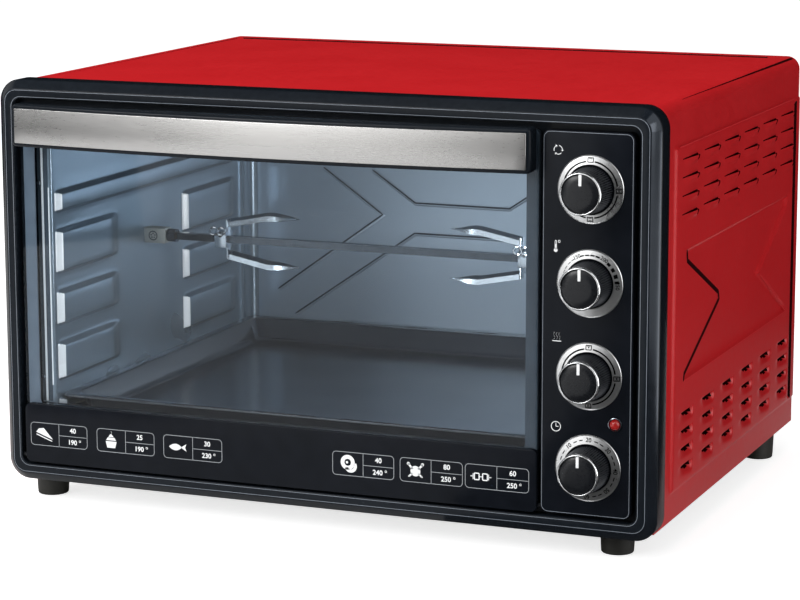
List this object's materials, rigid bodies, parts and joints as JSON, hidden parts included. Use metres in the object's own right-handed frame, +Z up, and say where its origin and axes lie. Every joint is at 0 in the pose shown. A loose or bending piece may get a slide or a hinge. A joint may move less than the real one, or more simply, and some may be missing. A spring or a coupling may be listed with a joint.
{
  "type": "electric oven",
  "caption": "Countertop electric oven with a red steel housing, a drop-down glass door, round control knobs, a baking tray and a rotisserie.",
  "frame": {"origin": "under the middle of the whole oven, on the surface that its feet stand on", "axes": "+X to the right of someone who faces the door, +Y towards the back, +Z up"},
  "size_m": [0.56, 0.4664, 0.3515],
  "materials": {
    "housing_red": "satin red stove paint on sheet steel",
    "frame_plastic": "blue-black moulded plastic, semi-gloss",
    "panel_black": "semi-gloss black paint on sheet steel",
    "knob_black": "black moulded plastic with a fine knurl",
    "brushed_steel": "fine brushed, satin",
    "chrome": "bright plated",
    "zinc_steel": "zinc coated sheet",
    "element_steel": "dull heat-tinted tube",
    "cavity_enamel": "blue-grey vitreous enamel",
    "tray_enamel": "glossy dark enamel",
    "rubber_black": "matte black",
    "switch_plastic": "matte moulded case",
    "lens_red": "clear red dome",
    "door_glass": "clear tempered glass"
  },
  "bodies": {
    "root": {"front_frame": "frame_plastic", "control_panel": "panel_black", "housing_wrap": "housing_red", "base_plate": "zinc_steel", "back_panel": "zinc_steel", "cord_inlet": "rubber_black", "foot_front_left": "rubber_black", "foot_front_right": "rubber_black", "foot_rear_left": "rubber_black", "foot_rear_right": "rubber_black", "cavity_left_wall": "cavity_enamel", "cavity_right_wall": "cavity_enamel", "cavity_back_wall": "cavity_enamel", "cavity_floor": "cavity_enamel", "cavity_top_wall": "cavity_enamel", "baking_tray": "tray_enamel", "upper_element_front": "element_steel", "upper_element_rear": "element_steel", "lower_element_front": "element_steel", "lower_element_rear": "element_steel", "spit_bracket": "zinc_steel", "spit_motor": "switch_plastic", "dial_ring_mode": "brushed_steel", "dial_ring_temperature": "brushed_steel", "dial_ring_heat": "brushed_steel", "dial_ring_timer": "brushed_steel", "mode_switch": "switch_plastic", "thermostat": "switch_plastic", "heat_switch": "switch_plastic", "timer": "switch_plastic", "lamp_lens": "lens_red", "lamp_ring": "chrome"},
    "door": {"door_glass": "door_glass", "door_kick_strip": "frame_plastic", "door_inner_frame": "panel_black", "handle_bar": "frame_plastic", "handle_face": "brushed_steel", "hinge_pin_left": "zinc_steel", "hinge_pin_right": "zinc_steel"},
    "mode_knob": {"knob_mode": "knob_black", "knob_trim_mode": "chrome", "shaft_mode": "zinc_steel"},
    "temperature_knob": {"knob_temperature": "knob_black", "knob_trim_temperature": "chrome", "shaft_temperature": "zinc_steel"},
    "heat_knob": {"knob_heat": "knob_black", "knob_trim_heat": "chrome", "shaft_heat": "zinc_steel"},
    "timer_knob": {"knob_timer": "knob_black", "knob_trim_timer": "chrome", "shaft_timer": "zinc_steel"},
    "spit": {"spit_rod": "chrome", "spit_collar": "chrome", "drive_socket": "zinc_steel"},
    "left_fork": {"fork_left": "chrome"},
    "right_fork": {"fork_right": "chrome"},
    "left_wing_screw": {"wing_screw_left": "chrome"},
    "right_wing_screw": {"wing_screw_right": "chrome"}
  },
  "joints": [
    {"name": "door_hinge", "type": "hinge", "parent": "root", "child": "door", "pos_m": [-0.0375, -0.20015, 0.0405], "axis": [1, 0, 0], "range_deg": [0, 90]},
    {"name": "mode_turn", "type": "hinge", "parent": "root", "child": "mode_knob", "pos_m": [0.2265, -0.21815, 0.2887], "axis": [0, 1, 0], "range_deg": [0, 270]},
    {"name": "temperature_turn", "type": "hinge", "parent": "root", "child": "temperature_knob", "pos_m": [0.2265, -0.21815, 0.21745], "axis": [0, 1, 0], "range_deg": [0, 270]},
    {"name": "heat_turn", "type": "hinge", "parent": "root", "child": "heat_knob", "pos_m": [0.2265, -0.21815, 0.1462], "axis": [0, 1, 0], "range_deg": [0, 270]},
    {"name": "timer_turn", "type": "hinge", "parent": "root", "child": "timer_knob", "pos_m": [0.2265, -0.21815, 0.07495], "axis": [0, 1, 0], "range_deg": [0, 300]},
    {"name": "spit_spin", "type": "hinge", "parent": "root", "child": "spit", "pos_m": [-0.026, -0.02615, 0.2005], "axis": [1, 0, 0], "continuous": true},
    {"name": "left_fork_slide", "type": "slide", "parent": "spit", "child": "left_fork", "axis": [1, 0, 0], "range_m": [-0.03, 0.06]},
    {"name": "right_fork_slide", "type": "slide", "parent": "spit", "child": "right_fork", "axis": [1, 0, 0], "range_m": [-0.06, 0.045]},
    {"name": "left_screw_turn", "type": "hinge", "parent": "left_fork", "child": "left_wing_screw", "pos_m": [-0.164, -0.02615, 0.2005], "axis": [0, -0.866, 0.5], "range_deg": [0, 720]},
    {"name": "right_screw_turn", "type": "hinge", "parent": "right_fork", "child": "right_wing_screw", "pos_m": [0.107, -0.02615, 0.2005], "axis": [0, -0.866, 0.5], "range_deg": [0, 720]}
  ]
}
